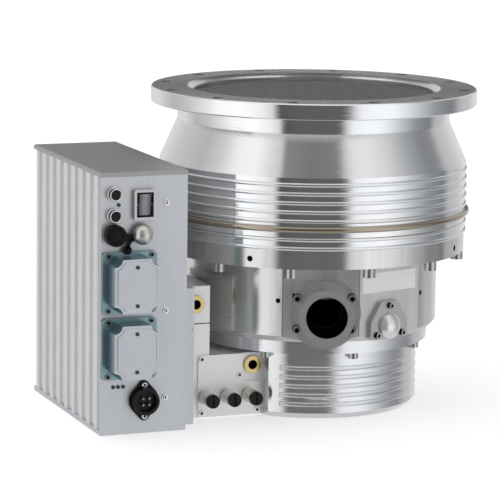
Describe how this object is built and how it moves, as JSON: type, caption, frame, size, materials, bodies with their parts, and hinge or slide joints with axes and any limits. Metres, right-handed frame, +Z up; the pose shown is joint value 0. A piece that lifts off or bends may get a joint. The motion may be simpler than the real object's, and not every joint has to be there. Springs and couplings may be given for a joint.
{
  "type": "turbomolecular pump",
  "caption": "Magnetically levitated turbomolecular vacuum pump with a large bolted inlet flange, small side fore-vacuum port and an attached drive unit.",
  "frame": {"origin": "centre of the round base's underside, on the rotor's axis", "axes": "+Z up the rotor's axis to the inlet, -Y out of the drive unit's front panel, drive unit on the -X side"},
  "size_m": [0.4326, 0.335, 0.326],
  "materials": {
    "machined_aluminium": "fine turned, bright",
    "brushed_aluminium": "milled and brushed",
    "bronze": "dark turned",
    "screen_steel": "woven wire",
    "ring_steel": "turned",
    "screw_steel": "bright steel",
    "rubber": "matt",
    "rotor_alloy": "milled",
    "shaft_steel": "ground",
    "laminations": "stacked sheet",
    "winding": "potted winding",
    "panel_aluminium": "anodised satin",
    "ribbed_aluminium": "anodised satin",
    "lid_grey": "satin paint",
    "zinc": "die cast, satin",
    "black_plastic": "moulded",
    "grey_plastic": "moulded",
    "clear_bezel": "glossy",
    "brass": "turned",
    "chrome": "polished",
    "board": "glass fibre board",
    "lamp": "small lens",
    "block_metal": "satin plated"
  },
  "bodies": {
    "root": {"inlet_housing": "machined_aluminium", "housing_band": "bronze", "inlet_screen": "screen_steel", "screen_ring": "ring_steel", "base_housing": "brushed_aluminium", "base_cylinder": "machined_aluminium", "seals": "rubber", "bottom_cover": "machined_aluminium", "housing_screws": "screw_steel", "base_screws": "screw_steel", "fore_vacuum_port": "brushed_aluminium", "purge_plate": "brushed_aluminium", "purge_cap": "chrome", "port_screws": "screw_steel", "stator_disc_1": "rotor_alloy", "stator_disc_2": "rotor_alloy", "stator_disc_3": "rotor_alloy", "spacer_rings": "rotor_alloy", "drag_stator": "rotor_alloy", "bearing_carrier": "machined_aluminium", "radial_magnets": "laminations", "motor_winding": "winding", "axial_magnets": "laminations", "touchdown_bearings": "shaft_steel", "position_sensors": "winding", "connection_block": "block_metal", "connection_panel": "block_metal", "connection_screws": "screw_steel", "fuse_seats": "black_plastic", "service_column": "block_metal", "water_fittings": "brass", "mounting_bracket": "panel_aluminium", "drive_housing": "ribbed_aluminium", "drive_lid": "lid_grey", "drive_base_plate": "panel_aluminium", "front_panel": "panel_aluminium", "circuit_boards": "board", "button_bezels": "chrome", "switch_frame": "clear_bezel", "interface_covers": "zinc", "panel_screws": "screw_steel", "status_lamps": "lamp", "power_socket": "black_plastic", "power_pins": "screw_steel", "service_connector": "chrome", "cap_socket": "black_plastic", "dust_cap_strap": "rubber"},
    "rotor": {"turbine_rotor": "rotor_alloy", "rotor_shaft": "shaft_steel", "rotor_bolts": "screw_steel", "thrust_disc": "shaft_steel", "motor_rotor": "laminations", "bearing_sleeves": "laminations"},
    "start_button": {"start_button": "black_plastic"},
    "stop_button": {"stop_button": "black_plastic"},
    "power_rocker": {"power_rocker": "grey_plastic"},
    "fuse_cap_left": {"fuse_cap_left": "black_plastic"},
    "fuse_cap_middle": {"fuse_cap_middle": "black_plastic"},
    "fuse_cap_right": {"fuse_cap_right": "black_plastic"},
    "dust_cap": {"dust_cap": "rubber"}
  },
  "joints": [
    {"name": "rotor_spin", "type": "hinge", "parent": "root", "child": "rotor", "pos_m": [0, 0, 0.2], "axis": [0, 0, 1], "continuous": true},
    {"name": "start_button_press", "type": "slide", "parent": "root", "child": "start_button", "axis": [0, 1, 0], "range_m": [0, 0.0025], "stiffness_N_per_m": 400},
    {"name": "stop_button_press", "type": "slide", "parent": "root", "child": "stop_button", "axis": [0, 1, 0], "range_m": [0, 0.0025], "stiffness_N_per_m": 400},
    {"name": "power_rocker_tilt", "type": "hinge", "parent": "root", "child": "power_rocker", "pos_m": [-0.2215, -0.1099, 0.228], "axis": [-1, 0, 0], "range_deg": [0, 16]},
    {"name": "fuse_cap_left_turn", "type": "hinge", "parent": "root", "child": "fuse_cap_left", "pos_m": [-0.1394, -0.078, 0.0216], "axis": [0, -1, 0], "range_deg": [0, 90]},
    {"name": "fuse_cap_middle_turn", "type": "hinge", "parent": "root", "child": "fuse_cap_middle", "pos_m": [-0.1162, -0.078, 0.0216], "axis": [0, -1, 0], "range_deg": [0, 90]},
    {"name": "fuse_cap_right_turn", "type": "hinge", "parent": "root", "child": "fuse_cap_right", "pos_m": [-0.093, -0.078, 0.0216], "axis": [0, -1, 0], "range_deg": [0, 90]},
    {"name": "dust_cap_pull", "type": "slide", "parent": "root", "child": "dust_cap", "axis": [0, -1, 0], "range_m": [0, 0.01]}
  ]
}
